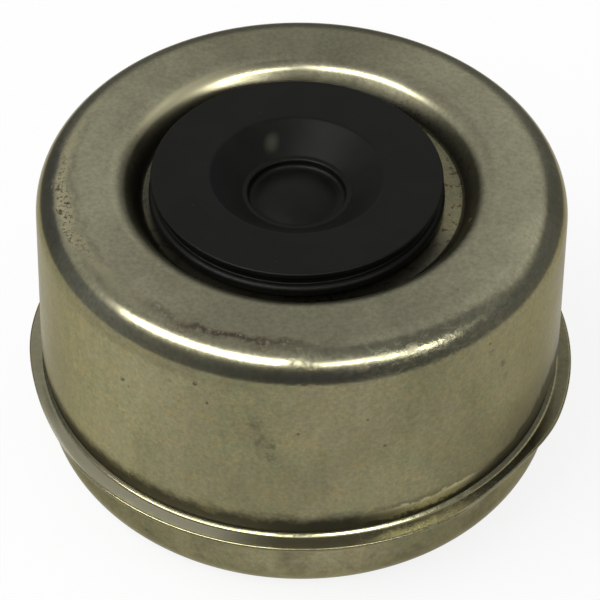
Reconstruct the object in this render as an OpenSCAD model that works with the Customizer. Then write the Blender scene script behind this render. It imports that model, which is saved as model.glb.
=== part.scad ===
// Hub grease cap: a drawn, zinc-plated steel cap that is driven into the bore of a trailer hub,
// with a moulded rubber plug in its crown that is pulled out to reach the grease fitting.
// Both pieces are turned profiles. Z is the hub's axis, and z = 0 is the foot of the drive-in lip.

/* [Cap body] */
// Height from the foot of the lip to the crown
cap_h = 31; // [24:0.5:45]
// How much smaller the body is than the lip, where the wall meets the shoulder
body_step = 0.15; // [0:0.05:0.5]
// How far the wall opens towards its foot, in degrees
wall_draft = 1.3; // [0:0.1:1.6]
// Outer radius of the shoulder between the wall and the crown
shoulder_r = 3.5; // [2:0.1:5]
// Thickness of the drawn sheet
sheet_t = 0.6; // [0.4:0.05:0.8]

/* [Flange and drive-in lip] */
// Radius of the lip that is driven into the hub: 1.98 in across
lip_r = 25.15; // [22:0.01:40]
// How far the folded flange stands out past the lip
flange_w = 1.65; // [1.3:0.05:5]
// Height of the top of the flange above the foot
flange_z = 9; // [7.5:0.1:12]
// Thickness of the flange: two layers of the sheet, pressed flat on each other
flange_t = 1; // [0.9:0.05:1.6]
// Rounding of the folded edge
edge_r = 0.4; // [0.1:0.05:0.4]
// Small radius between the wall and the flange
foot_r = 0.35; // [0.1:0.05:0.5]
// Height of the part of the lip that turns in, to lead it into the bore
nose_h = 4.2; // [2:0.1:5]
// Radius of that turned-in nose, seen in section
nose_r = 5.3; // [5.2:0.1:9]

/* [Well in the crown] */
// Width of the flat ring of the crown, from the shoulder to the well's edge
crown_w = 3.3; // [2.5:0.1:4.5]
// Depth of the well
well_depth = 2.8; // [2.5:0.1:3.4]
// Radius of the edge between the crown and the well
well_edge_r = 2.2; // [1.4:0.1:2.4]
// Inner radius at the foot of the well's side
well_foot_r = 0.5; // [0.3:0.1:0.8]
// Slope of the well's side, in degrees from the level
well_slope = 55.5; // [54:0.5:70]
// Radius of the pierced hole that holds the plug
hole_r = 9; // [7.5:0.1:11]

/* [Plug] */
// How far the plug sits to one side in its hole
plug_x = -0.5; // [-0.6:0.1:0.6]
// Clearance between the plug's sealing bead and the foot of the well's side, beyond that offset
bead_gap = 0.45; // [0:0.05:1]
// Height of the bead
bead_h = 1.3; // [1:0.1:1.5]
// How far the bead stands out past the plug's face
bead_proud = 0.2; // [0.1:0.05:0.4]
// Thickness of the face's rim, over the waist between it and the bead
rim_h = 0.5; // [0.4:0.1:0.7]
// Rounding of the face's edge
face_edge_r = 0.2; // [0.1:0.05:0.35]
// Radius of the dish at the face
dish_r = 8.2; // [6.8:0.1:10]
// Radius of the ring at the foot of the dish
ring_r = 5.1; // [4.2:0.1:6]
// Depth of that ring under the face
dish_depth = 2.2; // [1.6:0.1:2.6]
// Width of the ring's rounded edge
ring_w = 0.5; // [0.3:0.1:0.8]
// Depth of the recess inside the ring, under the ring
recess_depth = 0.9; // [0.5:0.1:1.2]
// Width of the level groove between the recess's wall and the dome that stands in it
groove_w = 0.7; // [0.3:0.1:1.5]
// Height of the dome
dome_h = 1; // [0.4:0.1:1.2]
// Clearance round the neck, beyond the plug's offset
neck_gap = 0.1; // [0:0.05:0.3]
// Clearance between the barb and the underside of the sheet
grip_gap = 0.05; // [0:0.05:0.2]
// How far the barb reaches past the hole, beyond the plug's offset
barb_reach = 0.7; // [0.4:0.1:1.2]
// Height of the barb
barb_h = 3; // [2.4:0.1:4]
// How much smaller the barb's tip is than the hole that it is pushed into
tip_lead = 1; // [0.8:0.1:2]
// Radius of the hollow in the underside
core_r = 5; // [3:0.1:5.5]
// Thickness of the web between the recess and the hollow
web_t = 1.3; // [1:0.1:2]

/* [Hidden] */
// Points per arc of a profile, and facets of the turned preview
ARC = 10;
$fn = 180;

// Heights that several features share
flange_bot = flange_z - flange_t;
flange_mid = flange_z - flange_t / 2;
floor_z = cap_h - well_depth;
bead_round = bead_h / 2;
recess_z = cap_h - dish_depth - recess_depth;
neck_top = floor_z - sheet_t - grip_gap;
plug_foot = neck_top - barb_h;
core_z = recess_z - web_t;

// Body and flange follow the lip, and the well follows the shoulder
body_r = lip_r - body_step;
flange_r = lip_r + flange_w;
well_r = body_r - shoulder_r - crown_w;

// The wall runs tangent from the shoulder down to the flange
shoulder_c = [body_r - shoulder_r, cap_h - shoulder_r];
function wall_at(z, off = 0) =
    let (p = shoulder_c + (shoulder_r - off) * [cos(wall_draft), sin(wall_draft)])
    p[0] + (p[1] - z) * tan(wall_draft);

// The side of the well runs tangent between its two rounds
side_a = 90 - well_slope;
edge_c = [well_r, cap_h - well_edge_r];
edge_end = edge_c + well_edge_r * [-cos(side_a), sin(side_a)];
foot_z = floor_z + well_foot_r - well_foot_r * sin(side_a);
foot_c = [edge_end[0] - (edge_end[1] - foot_z) * tan(side_a) - well_foot_r * cos(side_a),
          floor_z + well_foot_r];

// The nose of the lip curves in from the straight land to the foot
nose_c = [lip_r - nose_r, nose_h];

// The plug's head fits the well, and its neck, barb and tip fit the hole
bead_r = foot_c[0] - abs(plug_x) - bead_gap;
face_r = bead_r - bead_proud;
waist_r = bead_r - bead_round;
recess_r = ring_r - ring_w;
dome_r = recess_r - groove_w;
neck_r = hole_r - neck_gap - abs(plug_x);
barb_r = hole_r + barb_reach + abs(plug_x);
tip_r = hole_r - tip_lead;

// Points of an arc round c, from angle a0 to a1
function arc(c, r, a0, a1) =
    [for (i = [0:ARC]) let (a = a0 + (a1 - a0) * i / ARC) c + r * [cos(a), sin(a)]];

// Well, crown, shoulder and wall as one line at a depth of off below the outer skin
function crown_line(off) = concat(
    [[hole_r, floor_z - off]],
    arc(foot_c, well_foot_r + off, -90, -side_a),
    arc(edge_c, well_edge_r - off, 180 - side_a, 90),
    arc(shoulder_c, shoulder_r - off, 90, wall_draft));

// The nose of the lip at the same depth, from the land down to the foot
function nose_line(off) =
    let (r = nose_r - off)
    arc(nose_c, r, 0, -asin(nose_h / r));

// Outside of the flange: fillet, top, folded edge and underside
function flange_line() =
    let (foot = [wall_at(flange_z + foot_r) + foot_r, flange_z + foot_r], r = flange_r - edge_r)
    concat(
        arc(foot, foot_r, 180, 270),
        arc([r, flange_z - edge_r], edge_r, 90, 0),
        arc([r, flange_bot + edge_r], edge_r, 0, -90),
        [[lip_r, flange_bot]]);

// Inside of the fold: both layers bend outwards and leave a fine groove between them
function fold_line() =
    let (bend = flange_t / 2, low = lip_r - sheet_t, high = wall_at(flange_z, sheet_t))
    concat(
        arc([low + bend, flange_mid - bend], bend, 180, 90),
        arc([high + bend, flange_mid + bend], bend, 270, 180));

// Turned list of points, last one first
function reversed(p) = [for (i = [len(p) - 1:-1:0]) p[i]];

// One drawn piece of sheet: the outer skin down to the foot, then the inner skin back up
module cap_shell() {
    color([0.55, 0.53, 0.4])
        rotate_extrude()
            polygon(concat(
                crown_line(0), flange_line(), nose_line(0),
                reversed(nose_line(sheet_t)), fold_line(), reversed(crown_line(sheet_t))));
}

// Face of the plug from its centre out: dome, recess, ring, dish and rim
function face_line() =
    let (round_r = (dome_r * dome_r + dome_h * dome_h) / (2 * dome_h), half = asin(dome_r / round_r),
         ring_z = cap_h - dish_depth - ring_w / 2, r = face_r - face_edge_r)
    concat(
        arc([0, recess_z + dome_h - round_r], round_r, 90, 90 - half),
        [[recess_r, recess_z]],
        arc([recess_r + ring_w / 2, ring_z], ring_w / 2, 180, 90),
        [[ring_r, cap_h - dish_depth], [dish_r, cap_h]],
        arc([r, cap_h - face_edge_r], face_edge_r, 90, 0),
        [[face_r, cap_h - rim_h], [waist_r, cap_h - rim_h - (face_r - waist_r)]],
        arc([waist_r, floor_z + bead_round], bead_round, 90, -90));

// The moulded plug: its head sits on the well's floor, its neck passes the hole and the barb
// under the sheet holds it
module plug() {
    color([0.12, 0.12, 0.11])
        translate([plug_x, 0, 0])
            rotate_extrude()
                polygon(concat(
                    face_line(),
                    [[neck_r, floor_z], [neck_r, neck_top], [barb_r, neck_top],
                     [barb_r, neck_top - barb_h / 4], [tip_r, plug_foot],
                     [core_r, plug_foot], [core_r, core_z], [0, core_z]]));
}

cap_shell();
plug();
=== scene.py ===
# %% [markdown]
# # A hub grease cap
#
# The object is a small steel cap that is driven into the hub of a trailer wheel to keep the
# bearing grease in. It is drawn from one sheet of steel and zinc-plated. A rubber plug sits in a
# well in its crown, and is pulled out to reach the grease fitting. The cell below loads the
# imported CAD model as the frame. Everything here is in metres, and z = 0 is the foot of the lip.

# %% Load the frame
import math
from math import radians
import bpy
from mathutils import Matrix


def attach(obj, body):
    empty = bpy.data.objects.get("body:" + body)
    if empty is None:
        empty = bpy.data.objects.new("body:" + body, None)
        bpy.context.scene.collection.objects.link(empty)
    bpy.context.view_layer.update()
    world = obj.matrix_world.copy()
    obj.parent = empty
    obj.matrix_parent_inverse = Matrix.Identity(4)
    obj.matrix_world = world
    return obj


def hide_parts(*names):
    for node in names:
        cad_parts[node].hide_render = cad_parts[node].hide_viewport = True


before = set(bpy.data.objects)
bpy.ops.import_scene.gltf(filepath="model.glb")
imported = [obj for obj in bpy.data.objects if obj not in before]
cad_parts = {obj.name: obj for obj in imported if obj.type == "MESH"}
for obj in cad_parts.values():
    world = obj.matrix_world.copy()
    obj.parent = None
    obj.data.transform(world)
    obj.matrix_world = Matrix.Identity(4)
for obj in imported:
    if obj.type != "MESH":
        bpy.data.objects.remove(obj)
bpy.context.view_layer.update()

from types import SimpleNamespace

import bmesh
import bpy
from mathutils import Matrix, Vector

scene = bpy.context.scene
MM = 0.001

# %% [markdown]
# ## Camera
#
# The photograph looks down on the cap at about 46 degrees through a long lens. A long lens keeps
# the circles of crown and flange nearly alike in shape, so the distance matters as much as the
# angle. The camera could be aimed with a Track To constraint. A matrix made of three turns is used
# instead, because the picture is also rolled by almost one degree.

# %% Camera
LENS, SENSOR = 168, 36
CAMERA_HEIGHT_DEG, CAMERA_DISTANCE = 46.077, 283.07 * MM
TILT_DEG, ROLL_DEG, PAN_DEG = 46.061, 0.880, 0.010

camera_data = bpy.data.cameras.new("photo_camera")
camera_data.lens, camera_data.sensor_width = LENS, SENSOR
camera_data.clip_start, camera_data.clip_end = 0.01, 20
camera = bpy.data.objects.new("photo_camera", camera_data)
scene.collection.objects.link(camera)
height = radians(CAMERA_HEIGHT_DEG)
place = Matrix.Translation(CAMERA_DISTANCE * Vector((0, -math.cos(height), math.sin(height))))
camera.matrix_world = (place @ Matrix.Rotation(radians(TILT_DEG), 4, "X")
                       @ Matrix.Rotation(radians(ROLL_DEG), 4, "Z")
                       @ Matrix.Rotation(radians(PAN_DEG), 4, "Y"))
scene.camera = camera
print("camera at", [round(v, 4) for v in camera.matrix_world.translation])

# %% [markdown]
# ## Lines of a profile
#
# Both pieces are turned shapes: a press draws the cap between round tools, and the plug comes from
# a round mould. So each piece starts as the line that a gauge would trace over it, from arcs and
# straight runs. The mirror-like metal shows every facet, so arcs get a point every few degrees.
# Straight runs get an extra point close to each end, which keeps the smooth shading flat between.

# %% Arcs and straight runs
ARC_STEP_DEG, CORNER_STEP_DEG, CUT_STEP_DEG = 3.6, 9, 30
RUN_STEP, RUN_END = 1.0, 0.04


def arc(centre, radius, start, end, step=ARC_STEP_DEG):
    """Points on an arc in the (radius, height) plane, in millimetres, angles in degrees."""
    count = max(3, math.ceil(abs(end - start) / step))
    turns = [radians(start + (end - start) * i / count) for i in range(count + 1)]
    return [(centre[0] + radius * math.cos(t), centre[1] + radius * math.sin(t)) for t in turns]


def run(start, end, step=RUN_STEP):
    """Points between two ends, without the ends themselves."""
    a, b = Vector(start), Vector(end)
    length = (b - a).length
    if length < 4 * RUN_END:
        return []
    count = max(1, math.ceil(length / step))
    marks = [RUN_END] + [length * i / count for i in range(1, count)] + [length - RUN_END]
    return [tuple(a.lerp(b, m / length)) for m in marks]


def spread(start, end, count):
    """A fixed number of even points between two ends, without the ends themselves."""
    a, b = Vector(start), Vector(end)
    return [tuple(a.lerp(b, i / (count + 1))) for i in range(1, count + 1)]


def joined(*parts):
    """One line from several, with straight runs laid between their ends."""
    line = list(parts[0])
    for part in parts[1:]:
        line += run(line[-1], part[0]) + list(part)
    return line


def rounded(points):
    """Outline through (radius, height, rounding) points, each corner rounded as it says."""
    line = []
    for i, (x, z, rounding) in enumerate(points):
        at = Vector((x, z))
        if not rounding:
            line.append((x, z))
            continue
        back = (Vector(points[i - 1][:2]) - at).normalized()
        on = (Vector(points[i + 1][:2]) - at).normalized()
        half = back.angle(on) / 2
        centre = at + (back + on).normalized() * (rounding / math.sin(half))
        first = at + back * (rounding / math.tan(half)) - centre
        last = at + on * (rounding / math.tan(half)) - centre
        start = math.degrees(math.atan2(first.y, first.x))
        turn = math.degrees(math.atan2(first.cross(last), first.dot(last)))
        line += arc(centre, rounding, start, start + turn, CORNER_STEP_DEG)
    return line


print("an arc of 90 degrees has", len(arc((0, 0), 1, 0, 90)), "points")

# %% [markdown]
# ## Profile of the shell
#
# The sheet is 0.6 mm thick. From the hole in the middle it runs out over the well's floor, up the
# well's side, over the crown and round the shoulder, and then down the wall. There it is folded
# flat on itself to make the flange, and it ends in the lip that is driven into the hub. The sizes
# are those of the CAD model, apart from the wall's foot, which follows the photograph: the wall
# draws in a little, and a fine bevel leads to the flat top of the flange. A hole that is pierced
# and a rim that is trimmed have a fine round on their corners, which the CAD model leaves out and
# which catches the light.

# %% Sizes of the shell, in millimetres
CAP_H, LIP_R, BODY_R, DRAFT_DEG, SHOULDER_R, SHEET = 31, 25.15, 25, 1.3, 3.5, 0.6
FLANGE_R, FLANGE_Z, FLANGE_T, EDGE_R = 26.8, 9, 1, 0.4
SHELF_Z, SHELF_EDGE_R = 8.58, 0.2
NECK_TOP_Z, NECK_FOOT_Z, NECK_R, OPEN_NECK_R = 12.2, 9.05, 25.06, 24.88
NOSE_H, NOSE_R = 4.46, 5.3
WELL_R, WELL_DEPTH, WELL_EDGE_R, WELL_FOOT_R, WELL_SIDE_DEG, HOLE_R = 18.2, 2.8, 2.2, 0.5, 34.5, 9
CUT_ROUND, FOOT_BEVEL, OPEN_FOOT_BEVEL = 0.1, 0.30, 0.42
# How far the smooth bends at the wall's foot reach along the lines that they join
NECK_BEND, HIGH_BEND, LOW_BEND = 1.5, (0.08, 0.07), (0.10, 0.16)
OVER_NECK, TRIM_DEG = 0.2, 1.2

FLOOR_Z = CAP_H - WELL_DEPTH
SHOULDER_C = (BODY_R - SHOULDER_R, CAP_H - SHOULDER_R)
WELL_SIDE = radians(WELL_SIDE_DEG)
EDGE_C = (WELL_R, CAP_H - WELL_EDGE_R)
EDGE_END = (WELL_R - WELL_EDGE_R * math.cos(WELL_SIDE),
            EDGE_C[1] + WELL_EDGE_R * math.sin(WELL_SIDE))
FOOT_Z = FLOOR_Z + WELL_FOOT_R * (1 - math.sin(WELL_SIDE))
FOOT_C = (EDGE_END[0] - (EDGE_END[1] - FOOT_Z) * math.tan(WELL_SIDE)
          - WELL_FOOT_R * math.cos(WELL_SIDE), FLOOR_Z + WELL_FOOT_R)


def wall_at(z, depth=0):
    """Radius of the wall at a height, at some depth under the outer skin."""
    draft = radians(DRAFT_DEG)
    reach = SHOULDER_R - depth
    top_r, top_z = SHOULDER_C[0] + reach * math.cos(draft), SHOULDER_C[1] + reach * math.sin(draft)
    return top_r + (top_z - z) * math.tan(draft)


def crown_line(depth, hole_end):
    """Well, crown and shoulder, from the hole out to the top of the wall."""
    return joined(
        hole_end,
        arc(FOOT_C, WELL_FOOT_R + depth, -90, -WELL_SIDE_DEG, 6),
        arc(EDGE_C, WELL_EDGE_R - depth, 180 - WELL_SIDE_DEG, 90),
        arc(SHOULDER_C, SHOULDER_R - depth, 90, DRAFT_DEG))


def eased(start, corner, end, count):
    """A smooth bend of a fixed number of points, which leaves and arrives along the corner."""
    a, c, b = Vector(start), Vector(corner), Vector(end)
    steps = [i / (count - 1) for i in range(count)]
    return [tuple(a * (1 - t) ** 2 + c * 2 * t * (1 - t) + b * t * t) for t in steps]


def foot_line(neck_r, bevel):
    """Outside of the wall's foot: the neck, the bevel under it and the flat top of the flange."""
    wall_low, neck = (wall_at(NECK_TOP_Z), NECK_TOP_Z), (neck_r, NECK_FOOT_Z)
    high, low = (neck_r, SHELF_Z + bevel), (neck_r + bevel, SHELF_Z)
    high_end = (high[0] + HIGH_BEND[1], high[1] - HIGH_BEND[1])
    low_start = (low[0] - LOW_BEND[0], low[1] + LOW_BEND[0])
    flat = (low[0] + LOW_BEND[1], SHELF_Z)
    edge_top = arc((FLANGE_R - SHELF_EDGE_R, SHELF_Z - SHELF_EDGE_R), SHELF_EDGE_R, 90, 0,
                   CORNER_STEP_DEG)
    return (eased(wall_low, (wall_low[0], NECK_TOP_Z - NECK_BEND), neck, 10)
            + eased((neck_r, high[1] + HIGH_BEND[0]), high, high_end, 5)
            + spread(high_end, low_start, 2) + eased(low_start, low, flat, 6)
            + spread(flat, edge_top[0], 4) + edge_top)


def shell_line(neck_r, bevel):
    """The whole closed outline of the sheet, with the given neck and bevel at the wall's foot."""
    hole_top = arc((HOLE_R + CUT_ROUND, FLOOR_Z - CUT_ROUND), CUT_ROUND, 180, 90, CUT_STEP_DEG)
    hole_low = arc((HOLE_R + CUT_ROUND, FLOOR_Z - SHEET + CUT_ROUND), CUT_ROUND, -90, -180,
                   CUT_STEP_DEG)
    bottom = FLANGE_Z - FLANGE_T
    nose_c, inner = (LIP_R - NOSE_R, NOSE_H), NOSE_R - SHEET
    trim, trim_in = (math.degrees(math.asin(NOSE_H / r)) - TRIM_DEG for r in (NOSE_R, inner))
    nose, nose_in = arc(nose_c, NOSE_R, 0, -trim), arc(nose_c, inner, -trim_in, 0)
    rim = [(nose[-1][0] - CUT_ROUND, 0), (nose_in[0][0] + CUT_ROUND, 0)]
    bend, low, high = FLANGE_T / 2, LIP_R - SHEET, NECK_R - SHEET
    middle = FLANGE_Z - bend
    inner_top = (wall_at(NECK_TOP_Z) - SHEET, NECK_TOP_Z)
    over = NECK_TOP_Z + OVER_NECK
    return joined(
        joined(crown_line(0, hole_top), [(wall_at(over), over)]) + foot_line(neck_r, bevel),
        arc((FLANGE_R - EDGE_R, bottom + EDGE_R), EDGE_R, 0, -90, CORNER_STEP_DEG),
        arc((LIP_R + CUT_ROUND, bottom - CUT_ROUND), CUT_ROUND, 90, 180, CUT_STEP_DEG),
        nose, rim, nose_in,
        arc((low + bend, middle - bend), bend, 180, 90, 15),
        arc((high + bend, middle + bend), bend, 270, 180, 15),
        eased((high, NECK_FOOT_Z + OVER_NECK), (inner_top[0], NECK_TOP_Z - NECK_BEND), inner_top,
              8),
        crown_line(SHEET, [hole_low[0]])[::-1],
        hole_low,
        hole_top[:1])


tight_line = shell_line(NECK_R, FOOT_BEVEL)
open_line = shell_line(OPEN_NECK_R, OPEN_FOOT_BEVEL)
print("shell profile:", len(tight_line), "points, and", len(open_line), "with the open foot")

# %% [markdown]
# ## Profile of the plug
#
# The plug is moulded in black rubber. Its face has a dish with a ring at its foot, and a small dome
# stands in the recess inside the ring, where a thumb presses. Below the face a round bead seals
# on the well's floor, and a neck and a barb go through the hole. Rubber never leaves its mould with
# sharp corners, so a helper rounds each corner of the outline. A Bevel modifier would round
# them all alike, but here each corner has a radius of its own.

# %% Sizes of the plug, in millimetres
PLUG_X, BEAD_R, BEAD_H, WAIST_R, RIM_H, FACE_R = -0.5, 13.905, 1.3, 13.255, 0.5, 13.705
DISH_R, RING_R, DISH_DEPTH, RING_W, RECESS_DEPTH = 8.2, 5.1, 2.2, 0.5, 0.9
DOME_R, DOME_H, DOME_STEP_DEG, WEB, CORE_R = 3.9, 1, 3, 1.3, 5
PLUG_NECK_R, BARB_R, BARB_H, TIP_R, GRIP_GAP = 8.4, 10.2, 3, 8, 0.05


def plug_line():
    """The plug from the centre of its dome, round its outside, to the centre of its underside."""
    ring_z = CAP_H - DISH_DEPTH
    recess_z = ring_z - RECESS_DEPTH
    rim_low, neck_top = CAP_H - RIM_H, FLOOR_Z - SHEET - GRIP_GAP
    foot_z, core_z = neck_top - BARB_H, recess_z - WEB
    dome_round = (DOME_R ** 2 + DOME_H ** 2) / (2 * DOME_H)
    reach = math.degrees(math.asin(DOME_R / dome_round))
    dome = arc((0, recess_z + DOME_H - dome_round), dome_round, 90, 90 - reach + DOME_STEP_DEG,
               DOME_STEP_DEG)
    outline = [(*point, 0) for point in dome] + [
        (DOME_R, recess_z, 1.2), (RING_R - RING_W, recess_z, 0.38), (RING_R - RING_W, ring_z, 0.24),
        (RING_R, ring_z, 0.12), (DISH_R, CAP_H, 0.5), (FACE_R, CAP_H, 0.2),
        (FACE_R, rim_low, 0.15), (WAIST_R, rim_low - FACE_R + WAIST_R, 0.3),
        (WAIST_R, FLOOR_Z + BEAD_H, 0.12), (BEAD_R, FLOOR_Z + BEAD_H, 0.5), (BEAD_R, FLOOR_Z, 0.6),
        (PLUG_NECK_R, FLOOR_Z, 0.1), (PLUG_NECK_R, neck_top, 0.1), (BARB_R, neck_top, 0.15),
        (BARB_R, neck_top - BARB_H / 4, 0.3), (TIP_R, foot_z, 0.3), (CORE_R, foot_z, 0.3),
        (CORE_R, core_z, 0.5), (0, core_z, 0)]
    return joined(*([point] for point in rounded(outline)))


rubber_line = plug_line()
print("plug profile:", len(rubber_line), "points")

# %% [markdown]
# ## Turning a profile
#
# Turning a line round an axis could be done with a Screw modifier or with bmesh's spin. Geometry
# Nodes are used here because the metal isn't perfectly round: knocks have dented the flange's edge
# on the left and in front on the right, and on the right the wall's foot is more open. In the tree
# a grid has one row of points per turn step. Each grid point looks up its place on the profile, is
# moved by the dents and the open foot for its angle, and is then turned about Z.

# %% Helpers for node trees
def put(tree, kind, inputs=None, **settings):
    """Adds a node with its settings, and sets or links its inputs by name or number."""
    made = tree.nodes.new(kind)
    for key, value in settings.items():
        setattr(made, key, value)
    for key, value in (inputs or {}).items():
        if isinstance(value, bpy.types.NodeSocket):
            tree.links.new(value, made.inputs[key])
        else:
            made.inputs[key].default_value = value
    return made


def sums(tree, operation, *values, clamp=False):
    """A Math node's result."""
    made = put(tree, "ShaderNodeMath", dict(enumerate(values)), operation=operation)
    made.use_clamp = clamp
    return made.outputs[0]


def folded(tree, operation, values):
    """One operation over several values, from first to last."""
    result = values[0]
    for value in values[1:]:
        result = sums(tree, operation, result, value)
    return result


def times(tree, *values):
    """The product of several values."""
    return folded(tree, "MULTIPLY", values)


def plus(tree, *values):
    """The sum of several values."""
    return folded(tree, "ADD", values)


def most(tree, *values):
    """The largest of several values."""
    return folded(tree, "MAXIMUM", values)


def less(tree, first, second):
    """The first value less the second."""
    return sums(tree, "SUBTRACT", first, second)


def window(tree, value, centre, width):
    """1 at an angle, falling smoothly to 0 at the width on both sides, all in radians."""
    off = sums(tree, "WRAP", less(tree, value, centre), math.pi, -math.pi)
    fade = put(tree, "ShaderNodeMapRange", {"Value": sums(tree, "ABSOLUTE", off), "From Min": 0.0,
               "From Max": width, "To Min": 1.0, "To Max": 0.0}, interpolation_type="SMOOTHERSTEP")
    return fade.outputs["Result"]


print("helpers for node trees are ready")

# %% The tree that turns a profile
TREE_INPUTS = (
    ("Segments", "NodeSocketInt", 288), ("Off Centre", "NodeSocketVector", (0, 0, 0)),
    ("Knock Angle", "NodeSocketFloat", 0), ("Knock Width", "NodeSocketFloat", 1),
    ("Knock Depth", "NodeSocketFloat", 0), ("Dent Angle", "NodeSocketFloat", 0),
    ("Dent Width", "NodeSocketFloat", 1), ("Dent Depth", "NodeSocketFloat", 0),
    ("Open Angle", "NodeSocketFloat", 0), ("Open Width", "NodeSocketFloat", 1),
    ("Finish", "NodeSocketMaterial", None))
WELD_GAP = 0.002 * MM


def sampled(tree, profile, value, index, kind):
    """A value of the profile's own points, looked up by number."""
    return put(tree, "GeometryNodeSampleIndex", {
        "Geometry": profile, "Value": value, "Index": index}, data_type=kind,
        domain="POINT").outputs["Value"]


def stored(tree, name, kind):
    """A named attribute of the profile's points."""
    return put(tree, "GeometryNodeInputNamedAttribute", {"Name": name}, data_type=kind).outputs[0]


def turning_tree():
    """Geometry Nodes: turns a row of profile points round Z into a closed skin."""
    tree = bpy.data.node_groups.new("turned_profile", "GeometryNodeTree")
    tree.interface.new_socket("Profile", in_out="INPUT", socket_type="NodeSocketGeometry")
    for name, kind, default in TREE_INPUTS:
        socket = tree.interface.new_socket(name, in_out="INPUT", socket_type=kind)
        if default is not None:
            socket.default_value = default
    tree.interface.new_socket("Skin", in_out="OUTPUT", socket_type="NodeSocketGeometry")
    given = put(tree, "NodeGroupInput").outputs
    profile, segments = given["Profile"], given["Segments"]
    size = put(tree, "GeometryNodeAttributeDomainSize", {"Geometry": profile}, component="MESH")
    count = size.outputs["Point Count"]
    grid = put(tree, "GeometryNodeMeshGrid", {"Vertices X": plus(tree, segments, 1.0),
                                              "Vertices Y": count})
    number = put(tree, "GeometryNodeInputIndex").outputs[0]
    step = sums(tree, "FLOOR", sums(tree, "DIVIDE", plus(tree, number, 0.5), count))
    row = less(tree, number, times(tree, step, count))
    angle = times(tree, sums(tree, "DIVIDE", step, segments), math.tau)
    spot = sampled(tree, profile, put(tree, "GeometryNodeInputPosition").outputs[0], row,
                   "FLOAT_VECTOR")
    ease = sampled(tree, profile, stored(tree, "open_by", "FLOAT_VECTOR"), row, "FLOAT_VECTOR")
    give = sampled(tree, profile, stored(tree, "give", "FLOAT"), row, "FLOAT")
    opened = put(tree, "ShaderNodeVectorMath", {0: ease, "Scale": window(
        tree, angle, given["Open Angle"], given["Open Width"])}, operation="SCALE").outputs[0]
    depths = [times(tree, given[kind + " Depth"], window(
        tree, angle, given[kind + " Angle"], given[kind + " Width"])) for kind in ("Knock", "Dent")]
    inward = times(tree, give, plus(tree, *depths))
    shift = put(tree, "ShaderNodeCombineXYZ", {"X": times(tree, inward, -1.0)}).outputs[0]
    moved = put(tree, "ShaderNodeVectorMath", {0: spot, 1: opened}, operation="ADD")
    pushed = put(tree, "ShaderNodeVectorMath", {0: moved.outputs[0], 1: shift}, operation="ADD")
    turned_spot = put(tree, "ShaderNodeVectorRotate", {"Vector": pushed.outputs[0],
                      "Angle": angle}, rotation_type="Z_AXIS")
    place = put(tree, "ShaderNodeVectorMath", {0: turned_spot.outputs[0], 1: given["Off Centre"]},
                operation="ADD")
    skin = put(tree, "GeometryNodeSetPosition", {"Geometry": grid.outputs["Mesh"],
                                                 "Position": place.outputs[0]})
    closed = put(tree, "GeometryNodeMergeByDistance", {"Geometry": skin.outputs[0],
                                                       "Distance": WELD_GAP})
    smooth = put(tree, "GeometryNodeSetShadeSmooth", {"Geometry": closed.outputs[0]})
    real = put(tree, "GeometryNodeRealizeInstances", {"Geometry": smooth.outputs[0]})
    dressed = put(tree, "GeometryNodeSetMaterial", {"Geometry": real.outputs[0],
                                                    "Material": given["Finish"]})
    put(tree, "NodeGroupOutput", {"Skin": dressed.outputs[0]})
    return tree


turning = turning_tree()
print("turning tree:", len(turning.nodes), "nodes")

# %% [markdown]
# ## Zinc-plated steel
#
# Zinc on a drawn part is a grey-olive mirror that has gone dull in places. The press has burnished
# the shoulder and the edge of the well, so they are glossier than the crown and the wall. All of it
# is made from noise on Object coordinates, which has no seam round the cap. An image texture could
# not follow the round shape as simply. Each place on the steel is found by three values: how far it
# is from the axis, its angle round the axis (0 is +X, and -90 faces the camera) and its height.

# %% Helpers for finishes
def noise(tree, where, scale, detail=3.0, roughness=0.55, distortion=0.0):
    """A noise value on some coordinates."""
    return put(tree, "ShaderNodeTexNoise", {
        "Vector": where, "Scale": scale, "Detail": detail, "Roughness": roughness,
        "Distortion": distortion}, noise_dimensions="3D").outputs[0]


def between(tree, value, low, high, out_low=0.0, out_high=1.0, soft=True):
    """A value carried from one range to another, and kept inside it."""
    kind = "SMOOTHSTEP" if soft else "LINEAR"
    return put(tree, "ShaderNodeMapRange", {
        "Value": value, "From Min": low, "From Max": high, "To Min": out_low, "To Max": out_high},
        interpolation_type=kind).outputs["Result"]


def band(tree, value, low, high, soft):
    """1 between two values, 0 outside, with soft ends of the given width."""
    rise = between(tree, value, low - soft, low + soft)
    fall = between(tree, value, high - soft, high + soft, 1.0, 0.0)
    return times(tree, rise, fall)


def colours(tree, amount, first, second, blend="MIX"):
    """Two colours or colour sockets mixed by an amount."""
    tones = [(*tone, 1.0) if isinstance(tone, tuple) else tone for tone in (first, second)]
    return put(tree, "ShaderNodeMix", {0: amount, 6: tones[0], 7: tones[1]}, data_type="RGBA",
               blend_type=blend).outputs[2]


def stretched(tree, where, x, y, z):
    """Coordinates scaled by axis."""
    return put(tree, "ShaderNodeVectorMath", {0: where, 1: (x, y, z)},
               operation="MULTIPLY").outputs[0]


def new_finish(name):
    """An empty material with its tree, its shader and Object coordinates."""
    material = bpy.data.materials.new(name)
    material.use_nodes = True
    tree = material.node_tree
    return material, tree, tree.nodes["Principled BSDF"], put(
        tree, "ShaderNodeTexCoord").outputs["Object"]


print("helpers for finishes are ready")

# %% Places on the steel
def steel_coat():
    """The steel material, with the distance, angle and height of each place on it."""
    material, tree, shader, where = new_finish("zinc_plated_steel")
    x, y, high = put(tree, "ShaderNodeSeparateXYZ", {0: where}).outputs
    across = sums(tree, "SQRT", plus(tree, times(tree, x, x), times(tree, y, y)))
    return SimpleNamespace(material=material, tree=tree, shader=shader, where=where, x=x,
                           across=across, angle=sums(tree, "ARCTAN2", y, x), high=high)


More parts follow.
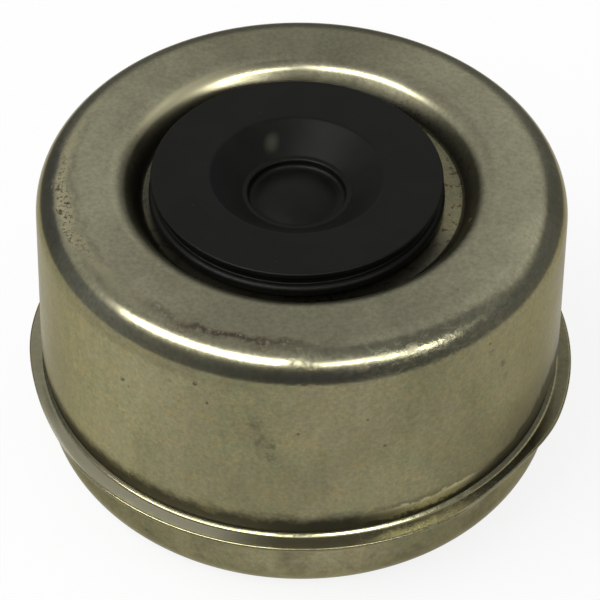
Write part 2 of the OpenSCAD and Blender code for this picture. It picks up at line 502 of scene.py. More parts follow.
def side(coat, middle_deg, width_deg):
    """1 on one side of the cap, falling smoothly to 0 at the width to both sides."""
    return window(coat.tree, coat.angle, radians(middle_deg), radians(width_deg))


def climb(coat, value, low, high, out_low=0.0, out_high=1.0, soft=True):
    """A value carried from a range in millimetres to another range."""
    return between(coat.tree, value, low * MM, high * MM, out_low, out_high, soft)


def belt(coat, value, low, high, soft):
    """1 between two distances or heights in millimetres, 0 outside, with soft ends."""
    return band(coat.tree, value, low * MM, high * MM, soft * MM)


def paint(coat, amount, tone):
    """Lays a tone over the coat by an amount."""
    coat.tone = colours(coat.tree, amount, coat.tone, tone)


coat = steel_coat()
print("places on the steel:", len(coat.tree.nodes), "nodes")

# %% [markdown]
# ### Plating
#
# The plating has cloudy patches a few millimetres across, a greyer crown, a fine grain, faint lines
# down the wall where the die rubbed, and dark pits in clusters. Light falls on the metal from
# wherever it mirrors, so the same plating reads brighter on some sides: that is painted light, a
# slow factor on the tone. Pits come from the cells of a Voronoi pattern, because each cell can get
# its own size.

# %% Plating: tones, grain and pits
# Noise settings: scale, detail, roughness and distortion
CLOUDS, PATCHES, BLOTCHES = (120, 4, 0.62, 0.6), (620, 3, 0.6, 0.3), (85, 3, 0.55, 0.4)
GRAIN, DIE_LINES, CLUSTERS, PIT_CELLS = (2300, 3, 0.75), (900, 3, 0.6), (150, 2), 640.0
CLEAN_TONE, WARM_TONE = (0.228, 0.209, 0.124), (0.243, 0.211, 0.110)
GREEN_TONE, GREY_TONE = (0.206, 0.199, 0.112), (0.212, 0.205, 0.142)
PIT_TONE = (0.050, 0.042, 0.022)
# Sides of painted light: the middle and the width in degrees
BRIGHT_WALL, BRIGHT_LIP = (-128, 44), (-95, 46)
# Belts: from, to and softness in millimetres; ranges have no softness
WALL_BELT, FLAT_TOP, LIP_TOP = (9.2, 27, 0.3), (30.3, 30.9), (7.5, 7.9)


def painted_light_by_side(coat):
    """Painted light: brighter on the left of the wall, on both sides of the crown, and in front."""
    tree = coat.tree
    wall = times(tree, side(coat, *BRIGHT_WALL), belt(coat, coat.high, *WALL_BELT), 0.24)
    crown = times(tree, climb(coat, coat.high, *FLAT_TOP), climb(
        coat, sums(tree, "ABSOLUTE", coat.x), 4, 20, -0.22, 0.30, False))
    lip = times(tree, coat.on_lip, between(tree, side(coat, *BRIGHT_LIP), 0.0, 1.0, -0.16, 0.16))
    return plus(tree, 1.0, wall, crown, lip)


def lay_plating(coat):
    """Patches of three tones, a greyer crown, a grain with faint die lines and painted light."""
    tree, where = coat.tree, coat.where
    coat.clouds, coat.grain = noise(tree, where, *CLOUDS), noise(tree, where, *GRAIN)
    coat.on_crown = climb(coat, coat.high, 28, CAP_H)
    coat.on_lip = climb(coat, coat.high, *LIP_TOP, 1.0, 0.0)
    patches = noise(tree, stretched(tree, where, 1, 1, 1.3), *PATCHES)
    lines = noise(tree, stretched(tree, where, 1, 1, 0.25), *DIE_LINES)
    blotches = noise(tree, stretched(tree, where, 1, 1, 0.6), *BLOTCHES)
    coat.tone = colours(tree, between(tree, coat.clouds, 0.38, 0.62), GREEN_TONE, CLEAN_TONE)
    paint(coat, between(tree, patches, 0.45, 0.72), WARM_TONE)
    paint(coat, times(tree, coat.on_crown, 0.85), GREY_TONE)
    fine = plus(tree, times(tree, coat.grain, 0.8), times(tree, lines, 0.2))
    # The shade also carries painted light, brighter or darker by side.
    shade = times(tree, between(tree, fine, 0.34, 0.66, 0.80, 1.16, False),
                  between(tree, blotches, 0.36, 0.64, 0.90, 1.10), painted_light_by_side(coat))
    grey = put(tree, "ShaderNodeCombineXYZ", {0: shade, 1: shade, 2: shade}).outputs[0]
    coat.tone = colours(tree, 1.0, coat.tone, grey, "MULTIPLY")


def find_pits(coat):
    """A pit in some cells, each with a size of its own, where clusters allow it."""
    tree, where = coat.tree, coat.where
    cells = put(tree, "ShaderNodeTexVoronoi", {"Vector": where, "Scale": PIT_CELLS}, feature="F1")
    chance = put(tree, "ShaderNodeSeparateColor", {0: cells.outputs["Color"]}).outputs[0]
    size = between(tree, chance, 0.62, 1.0, 0.0, 0.17, False)
    spots = between(tree, less(tree, size, cells.outputs["Distance"]), 0.0, 0.06)
    coat.pits = times(tree, spots, between(tree, noise(tree, where, *CLUSTERS), 0.5, 0.66))


lay_plating(coat)
find_pits(coat)
print("plating:", len(coat.tree.nodes), "nodes so far")

# %% [markdown]
# ### Wear, dirt and a painted sheen
#
# A pale strip on the left of the crown is a painted sheen, with dark specks in it. In front a
# broken rusty line runs along the shoulder. Small stains sit on the wall, and the lip is soiled
# where it sat in the hub. Each is a belt on the metal times a side of the cap, and noise frays it.

# %% Crown, wall and lip
WOBBLE, CRUMBS, SOIL = (420, 3), (1500, 3, 0.7), (260, 4, 0.65, 0.5)
STAIN_EDGE, STAIN_CRUMBS = (1300, 3, 0.75), (2100, 2, 0.7)
PALE_SHEEN_TONE, DIRT_TONE, GRIME_AND_SHADE_TONE = (0.37, 0.34, 0.21), (0.032, 0.021, 0.013), (0.030, 0.029, 0.024)
LINE_SIDE, STRIP_SIDE, SPECK_SIDE = (-107, 36), (-172, 58), (-166, 44)
LINE_BELT, STRIP_BELT, HEM_BELT = (22.0, 22.8, 0.35), (21.9, 23.1, 0.25), (21.3, 21.7, 0.3)
STRIP_TOP, SHOULDER_TOP, WOBBLE_MM = (29.6, 30.1), (28.6, 30.2), 2.6
# Stains on the wall: angle in degrees, height and size in millimetres, and strength
WALL_STAINS = (
    (-111.6, 26.6, 0.30, 0.9), (-117.2, 25.9, 0.22, 0.7), (-108.9, 24.6, 0.28, 0.8),
    (-129.5, 23.1, 0.34, 0.8), (-127.9, 22.5, 0.26, 0.8), (-131.3, 19.2, 0.25, 0.6),
    (-99.0, 23.2, 0.9, 0.45), (-97.0, 21.0, 1.1, 0.45), (-95.5, 19.2, 0.8, 0.4),
    (-46.0, 26.0, 0.6, 0.5), (-43.0, 23.5, 0.7, 0.5), (-41.5, 21.5, 0.5, 0.4),
    (-82.0, 13.6, 0.22, 1.0))


def sheen_and_soil_crown(coat):
    """The pale strip, a painted sheen, with specks and a dark hem, and the rusty line in front."""
    tree, where = coat.tree, coat.where
    coat.crumbs = noise(tree, where, *CRUMBS)
    ring = plus(tree, coat.across, times(tree, less(tree, noise(tree, where, *WOBBLE), 0.5),
                                         WOBBLE_MM * MM))
    strip_side = side(coat, *STRIP_SIDE)
    strip = times(tree, belt(coat, ring, *STRIP_BELT), strip_side,
                  climb(coat, coat.high, *STRIP_TOP))
    line = times(tree, belt(coat, ring, *LINE_BELT), side(coat, *LINE_SIDE),
                 between(tree, coat.crumbs, 0.36, 0.50))
    specks = times(tree, strip, side(coat, *SPECK_SIDE), between(tree, coat.grain, 0.51, 0.60))
    coat.dirt = times(tree, most(tree, line, specks), climb(coat, coat.high, *SHOULDER_TOP))
    # Painted sheen: the pale strip is lighter than the plating round it.
    paint(coat, times(tree, strip, between(tree, coat.crumbs, 0.3, 0.6, 0.45, 0.9)), PALE_SHEEN_TONE)
    paint(coat, times(tree, belt(coat, ring, *HEM_BELT), strip_side, 0.22), GRIME_AND_SHADE_TONE)


def stain_wall(coat):
    """Small stains on the wall, with ragged edges."""
    tree, where = coat.tree, coat.where
    rag = noise(tree, where, *STAIN_EDGE)
    crumbs = between(tree, noise(tree, where, *STAIN_CRUMBS), 0.38, 0.62, 0.25, 1.0)
    stains = []
    for turn, height, size, strength in WALL_STAINS:
        t, r = radians(turn), wall_at(height) * MM
        middle = (r * math.cos(t), r * math.sin(t), height * MM)
        gap = put(tree, "ShaderNodeVectorMath", {0: where, 1: middle},
                  operation="DISTANCE").outputs["Value"]
        reach = times(tree, rag, 3.2 * size * MM)
        stains.append(climb(coat, less(tree, gap, reach), -1.2 * size, -0.5 * size, strength, 0.0))
    coat.dirt = most(tree, coat.dirt, times(tree, most(tree, *stains), crumbs))


def soil_lip(coat):
    """Blotches of grime on the lip, and the tone of the pits all over."""
    soiled = between(coat.tree, noise(coat.tree, coat.where, *SOIL), 0.42, 0.68, 0.0, 0.36)
    paint(coat, times(coat.tree, coat.on_lip, soiled), GRIME_AND_SHADE_TONE)
    paint(coat, times(coat.tree, coat.pits, 0.85), PIT_TONE)


sheen_and_soil_crown(coat)
stain_wall(coat)
soil_lip(coat)
print("wear and dirt:", len(WALL_STAINS), "stains,", len(coat.tree.nodes), "nodes so far")

# %% [markdown]
# ### Flange and well
#
# The flange's top is painted paler, most on the left, where light falls; grime darkens the rest,
# and painted shade darkens its right. Painted shade fills the crease over it and climbs up the wall
# on the right, and beside it a patch of painted gleam shines. The well keeps dust and specks on its
# floor, which shows as a pale crescent on the right of the plug. Painted shade lies round the plug
# and on the floor to the left and in front, and the far side of the well has a painted golden fade.

# %% Flange, crease and well
# Painted light in the shelf tone, painted reflections in the gleam tone.
CREASE_RAG, CREASE_RAG_MM, RISE_MM = (700, 3, 0.7), 2.2, 3.4
SHELF_LIGHT_TONE, PAINTED_GLEAM_TONE, DUST_TONE = (0.52, 0.50, 0.38), (0.66, 0.61, 0.38), (0.060, 0.055, 0.040)
LIT_LEFT, GLEAM_RIGHT, UNLIT_RIGHT, SHADED_RIGHT = (-130, 47), (-60, 15), (-8, 48), (-8, 52)
RISE_SIDE, DEEP_SIDE = (-10, 44), (-12, 62)
GLEAM_SIDE, SHELF_GLEAM_SIDE, BEVEL_GLEAM_SIDE = (-60, 22), (-57, 11), (-76, 32)
CLEAN_WELL, GOLDEN_SIDE, SHADED_WELL, CRESCENT_END = (-75, 68), (132, 44), (-172, 84), (-32, -14)
SHELF_HIGH, SHELF_ACROSS, BEVEL_HIGH = (8.4, 8.64, 0.03), (25.44, 26.60, 0.08), (8.6, 8.92, 0.03)
GLEAM_BELT, CREASE_SHADE_TOP, DEEP_TOP = (9.7, 11.1, 0.3), (10.2, 12.1), (10.5, 20)
WELL_FLOOR_R, WELL_FLOOR_TOP = (15.4, 16.6), (27.8, 28.1)
# Painted shade round the plug, and a painted golden gleam on the well's far side
PLUG_SHADE_R, PLUG_SHADE_TOP = (15.45, 16.65), (28.4, 28.6)
GOLDEN_R, GOLDEN_HIGH = (15.9, 17.3, 0.35), (28.9, 30.75, 0.3)


def grime_and_painted_light_flange(coat):
    """Painted light, shade and gleams on the flange and its crease, with grime on its top."""
    tree, high, across = coat.tree, coat.high, coat.across
    shelf = times(tree, belt(coat, high, *SHELF_HIGH), belt(coat, across, *SHELF_ACROSS))
    # Painted light: the flange's top is paler, most on the left where light falls, least on the
    # right.
    left = side(coat, *LIT_LEFT)
    lighter = less(tree, between(tree, left, 0.0, 0.6, 0.30, 1.0),
                 times(tree, side(coat, *UNLIT_RIGHT), 0.42))
    coat.pale_shelf = times(tree, shelf, lighter)
    paint(coat, coat.pale_shelf, SHELF_LIGHT_TONE)

    # Painted shade in the crease, climbing the wall on the right, and a deeper patch above it.
    ragged = plus(tree, high, times(tree, less(tree, noise(tree, coat.where, *CREASE_RAG), 0.5),
                                    CREASE_RAG_MM * MM))
    climbing = plus(tree, ragged, times(tree, side(coat, *RISE_SIDE), -RISE_MM * MM))
    painted_gleam = times(tree, belt(coat, ragged, *GLEAM_BELT), side(coat, *GLEAM_SIDE))
    crease = times(tree, climb(coat, climbing, *CREASE_SHADE_TOP, 1.0, 0.0),
                   climb(coat, high, 8.88, 8.98), climb(coat, across, 24.65, 24.75),
                   less(tree, 1.0, painted_gleam))
    deep = times(tree, climb(coat, ragged, *DEEP_TOP, 1.0, 0.0), side(coat, *DEEP_SIDE),
                 climb(coat, high, 8.98, 9.08))
    # Grime on the flange's top, deepened on the right by painted shade.
    on_shelf = times(tree, shelf, less(tree, 1.0, most(tree, left, side(coat, *GLEAM_RIGHT))),
                     plus(tree, 0.15, times(tree, side(coat, *SHADED_RIGHT), 0.4)))
    coat.grime = most(tree, on_shelf, times(tree, most(tree, crease, deep), 0.94))

    # Painted reflections: a bright patch above the crease, and glints on the shelf and the bevel.
    paint(coat, painted_gleam, PAINTED_GLEAM_TONE)
    bevel = times(tree, belt(coat, high, *BEVEL_HIGH), climb(coat, across, 24.8, 24.9),
                  side(coat, *BEVEL_GLEAM_SIDE))
    painted_glints = most(tree, times(tree, shelf, side(coat, *SHELF_GLEAM_SIDE)), bevel)
    paint(coat, times(tree, painted_glints, 0.55), PAINTED_GLEAM_TONE)
    paint(coat, coat.grime, GRIME_AND_SHADE_TONE)


def dust_and_painted_light_well(coat):
    """Dust, specks and painted shade in the well and round the plug, and a painted golden gleam."""
    tree, high, across = coat.tree, coat.high, coat.across
    in_well = times(tree, climb(coat, across, *WELL_FLOOR_R, 1.0, 0.0),
                    climb(coat, high, *WELL_FLOOR_TOP))
    coat.dusty = times(tree, in_well, between(tree, coat.clouds, 0.3, 0.6, 0.40, 0.22),
                       less(tree, 1.0, times(tree, side(coat, *CLEAN_WELL), 0.9)))
    paint(coat, coat.dusty, DUST_TONE)
    paint(coat, times(tree, in_well, between(tree, coat.crumbs, 0.55, 0.63, 0.0, 0.9)), PIT_TONE)
    # Painted highlight: a golden fade on the far side of the well.
    paint(coat, times(tree, belt(coat, across, *GOLDEN_R), belt(coat, high, *GOLDEN_HIGH),
                      side(coat, *GOLDEN_SIDE), 0.85), PAINTED_GLEAM_TONE)
    # Painted shade: the foot of the well's side is darkened round the plug.
    paint(coat, times(tree, climb(coat, across, *PLUG_SHADE_R, 0.85, 0.0),
                      climb(coat, high, *PLUG_SHADE_TOP)), GRIME_AND_SHADE_TONE)
    # Painted shade: the well's floor is darkened on the left and in front.
    front = between(tree, coat.angle, *(radians(a) for a in CRESCENT_END), 1.0, 0.0)
    shaded = most(tree, side(coat, *SHADED_WELL), front)
    paint(coat, times(tree, in_well, shaded, 0.8), GRIME_AND_SHADE_TONE)


grime_and_painted_light_flange(coat)
dust_and_painted_light_well(coat)
paint(coat, coat.dirt, DIRT_TONE)
print("flange and well:", len(coat.tree.nodes), "nodes so far")

# %% [markdown]
# ### Gloss and relief
#
# A mirror shows its finish by how sharp the reflections are. So the burnished bends get a low
# roughness, with a few smears on the right, and the flats a higher one. Dirt and dust aren't metal
# and scatter light. A bump of hundredths of a millimetre makes the long highlights waver, as they
# do on drawn sheet, and crackles them where the zinc has been scratched.

# %% Gloss and relief
EDGE_TONE, CRACKLE, BUMP_MM = (0.75, 0.71, 0.58), 1.6, 0.02
SMEARS, WAVES, SCRATCHES = (800, 4, 0.7, 0.6), (380, 2, 0.5), (1500, 3, 0.6)
SMEAR_SIDE, WELL_SHINE, CRACKLE_SIDES = (-58, 40), (90, 85), ((-60, 24), (-90, 9))
BEND_HIGH, BEND_R, WELL_SIDE_R = (27.9, 30.85, 0.25), (19, 20), (14.9, 18.2, 0.2)
FLANGE_HIGH, FLANGE_R_FROM, CRACKLE_R = (8.0, 9.02, 0.05), (24.72, 24.80), (21.5, 25.2, 0.3)


def finish_steel(coat):
    """Links the tone, and makes the gloss, the matt dirt and the relief."""
    tree, shader, high, across = coat.tree, coat.shader, coat.high, coat.across
    tree.links.new(coat.tone, shader.inputs["Base Color"])
    shader.inputs["Specular Tint"].default_value = (*EDGE_TONE, 1)

    well_side = times(tree, belt(coat, across, *WELL_SIDE_R), side(coat, *WELL_SHINE), 0.6)
    bends = times(tree, belt(coat, high, *BEND_HIGH),
                  most(tree, climb(coat, across, *BEND_R), well_side))
    edges = times(tree, belt(coat, high, *FLANGE_HIGH), climb(coat, across, *FLANGE_R_FROM))
    burnished = most(tree, bends, edges)
    dull = plus(tree, between(tree, coat.clouds, 0.35, 0.65, 0.26, 0.34, False),
                times(tree, coat.on_crown, 0.06))
    smears = between(tree, noise(tree, stretched(tree, coat.where, 1, 1, 2.2), *SMEARS),
                     0.44, 0.62, 0.0, 0.14)
    smears = plus(tree, times(tree, smears, side(coat, *SMEAR_SIDE)), 0.20)
    gloss = put(tree, "ShaderNodeMix", {0: burnished, 2: dull, 3: smears}, data_type="FLOAT")
    spots = most(tree, coat.pits, coat.dirt)
    tree.links.new(most(tree, gloss.outputs[0], times(tree, spots, 0.75),
                        times(tree, coat.grime, 0.5)), shader.inputs["Roughness"])
    matt = most(tree, coat.dusty, times(tree, coat.pale_shelf, 0.7), spots)
    tree.links.new(between(tree, matt, 0.0, 1.0, 1.0, 0.2, False), shader.inputs["Metallic"])

    scratched = most(tree, *(side(coat, *at) for at in CRACKLE_SIDES))
    crackle = times(tree, belt(coat, across, *CRACKLE_R), burnished, scratched,
                    noise(tree, coat.where, *SCRATCHES), CRACKLE)
    relief = plus(tree, crackle, times(tree, noise(tree, coat.where, *WAVES), 1.3),
                  times(tree, coat.grain, 0.07), times(tree, spots, -0.5))
    bump = put(tree, "ShaderNodeBump", {"Height": relief, "Strength": 1.0,
                                        "Distance": BUMP_MM * MM})
    tree.links.new(bump.outputs[0], shader.inputs["Normal"])
    return coat.material


steel = finish_steel(coat)
print("steel finish:", len(steel.node_tree.nodes), "nodes")

# %% [markdown]
# ## Black rubber
#
# Moulded rubber is nearly black and has a soft, satin shine. Its skin isn't even: a faint bloom
# makes it a little paler in clouds, and its surface has the fine grain of the mould. So both the
# colour and the roughness follow noise, and a small bump breaks up the reflections. A pale streak
# in the dish is a painted highlight.

# %% Rubber
RUBBER_TONE, BLOOM_TONE = (0.0042, 0.0043, 0.0032), (0.0066, 0.0066, 0.0050)
# The pale tone serves dust specks and a painted highlight in the dish.
DUST_AND_HIGHLIGHT_TONE, HIGHLIGHT_AT, HIGHLIGHT_FADE = (0.050, 0.048, 0.037), (-3.0, 2.8, 29.6), (0.5, 1.3)
RUBBER_BUMP_MM = 0.008


def rubber_finish():
    """Black moulded rubber: a faint bloom, a fine grain, dust, and a painted highlight in the dish.
    """
    material, tree, shader, where = new_finish("black_rubber")
    bloom = noise(tree, where, 210, 4, 0.6, 0.4)
    grain = noise(tree, where, 3600, 2, 0.6)
    tone = colours(tree, between(tree, bloom, 0.35, 0.7), RUBBER_TONE, BLOOM_TONE)
    dust = between(tree, noise(tree, where, 1400, 3, 0.7), 0.68, 0.78, 0.0, 0.4)
    # Painted highlight: a pale streak on the slope of the dish.
    gap = put(tree, "ShaderNodeVectorMath", {0: stretched(tree, where, 1, 0.45, 1),
              1: tuple(v * MM for v in HIGHLIGHT_AT)}, operation="DISTANCE").outputs["Value"]
    painted_highlight = between(tree, plus(tree, gap, times(tree, bloom, 0.9 * MM)),
                    *(v * MM for v in HIGHLIGHT_FADE), 0.9, 0.0)
    tone = colours(tree, most(tree, dust, painted_highlight), tone, DUST_AND_HIGHLIGHT_TONE)
    tree.links.new(tone, shader.inputs["Base Color"])
    tree.links.new(between(tree, bloom, 0.3, 0.7, 0.42, 0.52, False), shader.inputs["Roughness"])
    shader.inputs["Specular IOR Level"].default_value = 0.10
    bump = put(tree, "ShaderNodeBump", {"Height": plus(tree, grain, times(tree, bloom, 2.0)),
                                        "Strength": 1.0, "Distance": RUBBER_BUMP_MM * MM})
    tree.links.new(bump.outputs[0], shader.inputs["Normal"])
    return material


rubber = rubber_finish()
print("rubber finish:", len(rubber.node_tree.nodes), "nodes")

# %% [markdown]
# ## Making the two pieces
#
# The points of a profile become a mesh without faces, which carries what the tree looks up: how
# far each point moves where the foot is open, and how much it gives way in a dent. The result is
# turned into a plain mesh, and bmesh then checks that its normals point outwards.

# %% Turn the profiles
SOCKETS = {item.name: item.identifier for item in turning.interface.items_tree
           if item.in_out == "INPUT"}


def profile_mesh(name, line, open_by, give):
    """A row of points in the XZ plane with the two attributes that the tree reads."""
    mesh = bpy.data.meshes.new(name)
    mesh.from_pydata([(x * MM, 0, z * MM) for x, z in line], [], [])
    moves = mesh.attributes.new("open_by", "FLOAT_VECTOR", "POINT")
    moves.data.foreach_set("vector", [v * MM for x, z in open_by for v in (x, 0, z)])
    mesh.attributes.new("give", "FLOAT", "POINT").data.foreach_set("value", give)
    return mesh


def turn_piece(name, profile, **given):
    """Runs the tree on a profile, and returns the result as a plain, closed mesh object."""
    piece = bpy.data.objects.new(name, profile)
    scene.collection.objects.link(piece)
    turner = piece.modifiers.new("turned", "NODES")
    turner.node_group = turning
    for label, value in given.items():
        turner[SOCKETS[label.replace("_", " ")]] = value
    skin = bpy.data.meshes.new_from_object(
        piece.evaluated_get(bpy.context.evaluated_depsgraph_get()))
    piece.modifiers.clear()
    shell = bmesh.new()
    shell.from_mesh(skin)
    bmesh.ops.dissolve_degenerate(shell, edges=shell.edges, dist=1e-7)
    bmesh.ops.recalc_face_normals(shell, faces=shell.faces)
    open_edges = sum(not edge.is_manifold for edge in shell.edges)
    shell.to_mesh(skin)
    volume = shell.calc_volume()
    shell.free()
    skin.name = name
    piece.data = skin
    print(name, len(skin.polygons), "faces,", open_edges, "open edges,",
          round(volume / MM ** 3, 1), "mm3, box", [round(v / MM, 2) for v in piece.dimensions])
    return piece


# A knock on the left, a dent in front on the right, and the side where the wall's foot is open
KNOCK_ANGLE, KNOCK_WIDTH, KNOCK_DEPTH = radians(200), radians(30), 0.38 * MM
DENT_ANGLE, DENT_WIDTH, DENT_DEPTH = radians(-40), radians(22), 0.58 * MM
OPEN_ANGLE, OPEN_WIDTH = radians(-22), radians(48)
FIRM_EDGE, GIVE_LOW_Z, GIVE_HIGH_Z = 0.3, 7.5, 9.8
SHELL_STEPS, PLUG_STEPS = 300, 240

open_by = [(b[0] - a[0], b[1] - a[1]) for a, b in zip(tight_line, open_line)]
give = [max(0.0, (x - LIP_R - FIRM_EDGE) / (FLANGE_R - LIP_R - FIRM_EDGE))
        if GIVE_LOW_Z < z < GIVE_HIGH_Z else 0.0 for x, z in tight_line]
pressed_shell = turn_piece(
    "pressed_shell", profile_mesh("shell_profile", tight_line, open_by, give),
    Segments=SHELL_STEPS, Knock_Angle=KNOCK_ANGLE, Knock_Width=KNOCK_WIDTH,
    Knock_Depth=KNOCK_DEPTH, Dent_Angle=DENT_ANGLE, Dent_Width=DENT_WIDTH, Dent_Depth=DENT_DEPTH,
    Open_Angle=OPEN_ANGLE, Open_Width=OPEN_WIDTH, Finish=steel)
still = [(0, 0)] * len(rubber_line)
rubber_plug = turn_piece(
    "rubber_plug", profile_mesh("plug_profile", rubber_line, still, [0.0] * len(rubber_line)),
    Segments=PLUG_STEPS, Off_Centre=(PLUG_X * MM, 0, 0), Finish=rubber)

# %% [markdown]
# ## Floor, surroundings and lamps
#
# Polished metal looks like what stands round it. In the photograph the cap mirrors a white table,
# a pale ceiling, a dark room beyond the table's edge, a large window-like lamp on the left and a
# narrow one on the right. The dark room is a ring of dark card, seen by reflections only. The lamps
# are area lamps, because their size and direction set the shape of the highlights. A third lamp
# lights only what is matt, and a grey screen dims what the metal mirrors above the right.

# %% Floor and dark card
FLOOR_SIZE, FLOOR_Z_M, CARD_R, CARD_H, CARD_STEPS = 3.0, -0.01 * MM, 100 * MM, 64 * MM, 96
WHITE, TABLE_TONE, TABLE_GLOW = (1, 1, 1, 1), (0.86, 0.86, 0.86, 1), 1.06
TO_CAMERA, TO_METAL = 0.8, 0.62
# The room beyond the table: its tone, then the middle and width in degrees of parts of another tone
ROOM_TONE = (0.30, 0.31, 0.36)
ROOM_PARTS = ((-85, 60, (0.13, 0.14, 0.19)), (150, 55, (0.20, 0.21, 0.27)),
              (-168, 34, (0.40, 0.42, 0.52)))


def stage_mesh(name, corners, faces, finish):
    """A stage object from corners and faces."""
    mesh = bpy.data.meshes.new(name)
    mesh.from_pydata(corners, [], faces)
    mesh.materials.append(finish)
    thing = bpy.data.objects.new(name, mesh)
    scene.collection.objects.link(thing)
    return thing


def only_in_reflections(thing):
    """Hides a stage object from everything but glossy rays."""
    thing.visible_camera = thing.visible_diffuse = thing.visible_shadow = False
    thing.visible_transmission = thing.visible_volume_scatter = False
    return thing


def glowing(tree, colour):
    """Makes a finish glow in a colour or a colour socket, whatever light falls on it."""
    light = put(tree, "ShaderNodeEmission", {"Color": colour, "Strength": 1.0})
    tree.links.new(light.outputs[0], tree.nodes["Material Output"].inputs["Surface"])


def white_table():
    """White card that stays white to the camera and in reflections, and keeps a light shadow."""
    material, tree, shader, _ = new_finish("white_table")
    shader.inputs["Base Color"].default_value = TABLE_TONE
    shader.inputs["Roughness"].default_value = 0.9
    shader.inputs["Specular IOR Level"].default_value = 0.0
    path = put(tree, "ShaderNodeLightPath").outputs
    mirrored = plus(tree, path["Is Glossy Ray"], path["Is Transmission Ray"])
    seen = sums(tree, "ADD", times(tree, path["Is Camera Ray"], TO_CAMERA),
                times(tree, mirrored, TO_METAL), clamp=True)
    white = put(tree, "ShaderNodeEmission", {"Color": WHITE, "Strength": TABLE_GLOW})
    mixed = put(tree, "ShaderNodeMixShader", {0: seen, 1: shader.outputs[0], 2: white.outputs[0]})
    tree.links.new(mixed.outputs[0], tree.nodes["Material Output"].inputs["Surface"])
    return material


def dark_room():
    """The glow of the room beyond the table: darkest in front, paler to the sides."""
    material, tree, _, where = new_finish("dark_room")
    x, y, _ = put(tree, "ShaderNodeSeparateXYZ", {0: where}).outputs
    angle, glow = sums(tree, "ARCTAN2", y, x), ROOM_TONE
    for middle, width, tone in ROOM_PARTS:
        glow = colours(tree, window(tree, angle, radians(middle), radians(width)),
                       glow, tone)
    glowing(tree, glow)
    return material


half = FLOOR_SIZE / 2
stage_mesh("floor", [(x * half, y * half, FLOOR_Z_M) for x, y in
                     ((-1, -1), (1, -1), (1, 1), (-1, 1))], [(0, 1, 2, 3)], white_table())
ring = [(CARD_R * math.cos(math.tau * i / CARD_STEPS), CARD_R * math.sin(math.tau * i / CARD_STEPS),
         z) for z in (0, CARD_H) for i in range(CARD_STEPS)]
after = [(i + 1) % CARD_STEPS for i in range(CARD_STEPS)]
only_in_reflections(stage_mesh("dark_card", ring, [
    (i, after[i], after[i] + CARD_STEPS, i + CARD_STEPS) for i in range(CARD_STEPS)], dark_room()))
print("floor", FLOOR_SIZE, "m wide; card", CARD_R, "m away")

# %% World and lamps
ROOM_FILL = 0.5
# What the metal mirrors above it: from, to, and the glow at both (height is 0 to 1, x is -1 to 1)
CEILING_LOW, CEILING_HIGH = (0.62, 0.72, 1.10, 0.56), (0.72, 0.84, 0.0, 0.26)
CEILING_ACROSS = (-0.12, 0.12, 0.84, 1.24)
# Its dusky sides: the middle and width in degrees, from and to in height, and how dim
DUSKY_SIDES = ((-90, 80, 0.40, 0.70, 0.85), (45, 75, 0.36, 0.68, 0.92))


def pale_room():
    """A world that is white to the camera, a ceiling to the metal and a weak fill to the rest."""
    world = bpy.data.worlds.new("pale_room")
    world.use_nodes = True
    sky = world.node_tree
    sky.nodes.clear()
    path = put(sky, "ShaderNodeLightPath").outputs
    seen = sums(sky, "ADD", plus(sky, path["Is Camera Ray"], path["Is Glossy Ray"]),
                path["Is Transmission Ray"], clamp=True)
    fill = put(sky, "ShaderNodeBackground", {"Color": WHITE, "Strength": ROOM_FILL})
    way = put(sky, "ShaderNodeTexCoord").outputs["Generated"]
    x, y, up = put(sky, "ShaderNodeSeparateXYZ", {0: way}).outputs
    turn = sums(sky, "ARCTAN2", y, x)
    ceiling = times(sky, plus(sky, between(sky, up, *CEILING_LOW), between(
        sky, up, *CEILING_HIGH)), between(sky, x, *CEILING_ACROSS))
    for middle, width, low, top, dusk in DUSKY_SIDES:
        dim = times(sky, window(sky, turn, radians(middle), radians(width)),
                    between(sky, up, low, top, dusk, 0.0))
        ceiling = times(sky, ceiling, less(sky, 1.0, dim))
    shown = most(sky, ceiling, path["Is Camera Ray"])
    white = put(sky, "ShaderNodeBackground", {"Color": WHITE, "Strength": shown})
    mixed = put(sky, "ShaderNodeMixShader", {0: seen, 1: fill.outputs[0], 2: white.outputs[0]})
    put(sky, "ShaderNodeOutputWorld", {0: mixed.outputs[0]})
    return world


def direction(turn_deg, height_deg):
    """Unit vector at an angle round Z from +X and a height above the floor."""
    a, e = radians(turn_deg), radians(height_deg)
    return Vector((math.cos(a) * math.cos(e), math.sin(a) * math.cos(e), math.sin(e)))


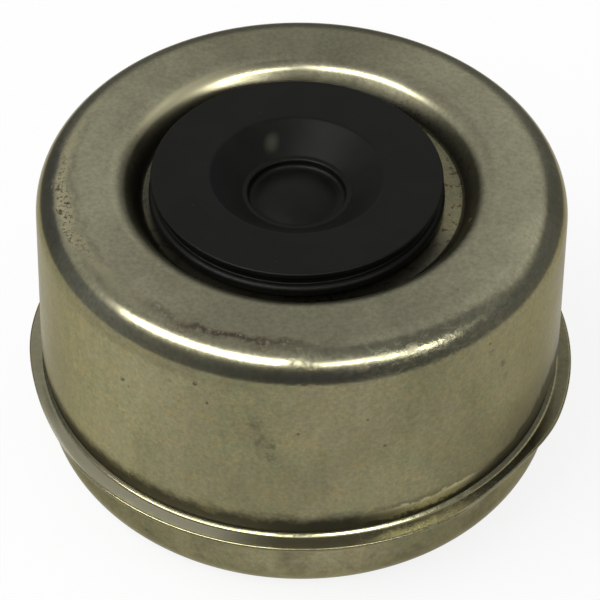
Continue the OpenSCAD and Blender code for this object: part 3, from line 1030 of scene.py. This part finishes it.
def strip_lamp(name, start, end, width_deg, glow, reach=0.6):
    """A long area lamp that runs between two directions, and faces the cap."""
    first, last = direction(*start) * reach, direction(*end) * reach
    middle = (first + last) / 2
    along, back = (last - first).normalized(), middle.normalized()
    lamp = bpy.data.lights.new(name, "AREA")
    lamp.shape = "RECTANGLE"
    lamp.size = (last - first).length
    lamp.size_y = 2 * middle.length * math.tan(radians(width_deg / 2))
    lamp.energy = glow * math.pi * lamp.size * lamp.size_y
    lamp_object = bpy.data.objects.new(name, lamp)
    lamp_object.matrix_world = Matrix.Translation(middle) @ Matrix(
        (along, back.cross(along), back)).transposed().to_4x4()
    lamp_object.visible_camera = False
    scene.collection.objects.link(lamp_object)
    print(name, "size", round(lamp.size, 3), "x", round(lamp.size_y, 3), "power",
          round(lamp.energy, 2))
    return lamp_object


scene.world = pale_room()
scene.view_settings.view_transform = "Standard"
left_lamp = strip_lamp("left_lamp", (-97, 46), (-166, 36), width_deg=13, glow=17.5)
right_lamp = strip_lamp("right_lamp", (-80, 43), (-32, 27), width_deg=8, glow=12.5)
left_lamp.visible_diffuse = right_lamp.visible_diffuse = False
key_lamp = strip_lamp("key_lamp", (-120, 50), (170, 40), width_deg=40, glow=2.6, reach=1.2)
key_lamp.visible_glossy = False

# %% A grey screen above the right
def screen(name, turns, heights, reach, glow):
    """A curved screen between two angles round Z and two heights, seen in reflections only."""
    columns, rows = 16, 8
    points = [direction(turns[0] + (turns[1] - turns[0]) * i / columns,
                        heights[0] + (heights[1] - heights[0]) * j / rows) * reach
              for j in range(rows + 1) for i in range(columns + 1)]
    wide = columns + 1
    faces = [(j * wide + i, j * wide + i + 1, (j + 1) * wide + i + 1, (j + 1) * wide + i)
             for j in range(rows) for i in range(columns)]
    material, tree, _, _ = new_finish(name)
    glowing(tree, (*glow, 1))
    return only_in_reflections(stage_mesh(name, points, faces, material))


grey_screen = screen("grey_screen", (-78, 12), (22, 88), 0.9, (0.42, 0.43, 0.45))
print("grey screen:", len(grey_screen.data.polygons), "faces")

# %% [markdown]
# ## Bodies
#
# Each piece rides on the one body of the cap and stands for its CAD node, which is kept but
# hidden. The visual model has to be as large as the CAD model.

# %% Bodies
for piece, node_name, slot_name in ((pressed_shell, "cap_shell", "zinc_plated_steel"),
                                    (rubber_plug, "plug", "black_rubber")):
    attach(piece, "root")
    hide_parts(node_name)
